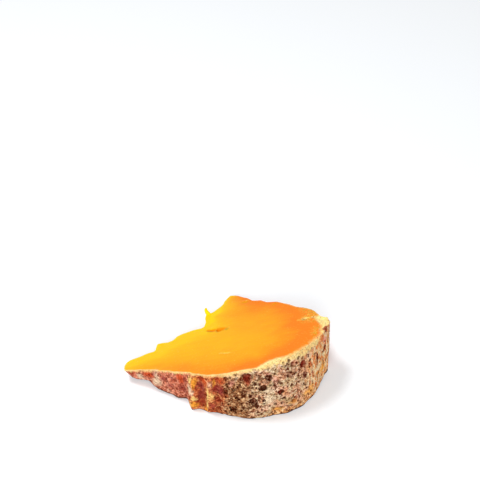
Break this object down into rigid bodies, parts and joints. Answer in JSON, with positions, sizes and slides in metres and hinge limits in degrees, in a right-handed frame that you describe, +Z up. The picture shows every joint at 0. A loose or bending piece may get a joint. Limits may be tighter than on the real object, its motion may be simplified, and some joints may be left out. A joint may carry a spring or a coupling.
{
  "type": "mimolette cheese wedge",
  "caption": "Wedge of hard orange cheese with a pitted, floury rind along its curved side, lying on its flat cut face with the sloping cut face up.",
  "frame": {"origin": "middle of the underside of the bounding box, on the flat cut face that the wedge lies on", "axes": "+X from the thin left tip towards the right end of the rind, +Y from the curved rind towards the corner that was the ball's middle, +Z up"},
  "size_m": [0.134, 0.1102, 0.0502],
  "materials": {
    "mimolette": "smooth waxy orange paste on the cut faces, dry floury pitted brown rind on the curved side"
  },
  "bodies": {
    "root": {"mimolette_wedge": "mimolette"}
  },
  "joints": []
}
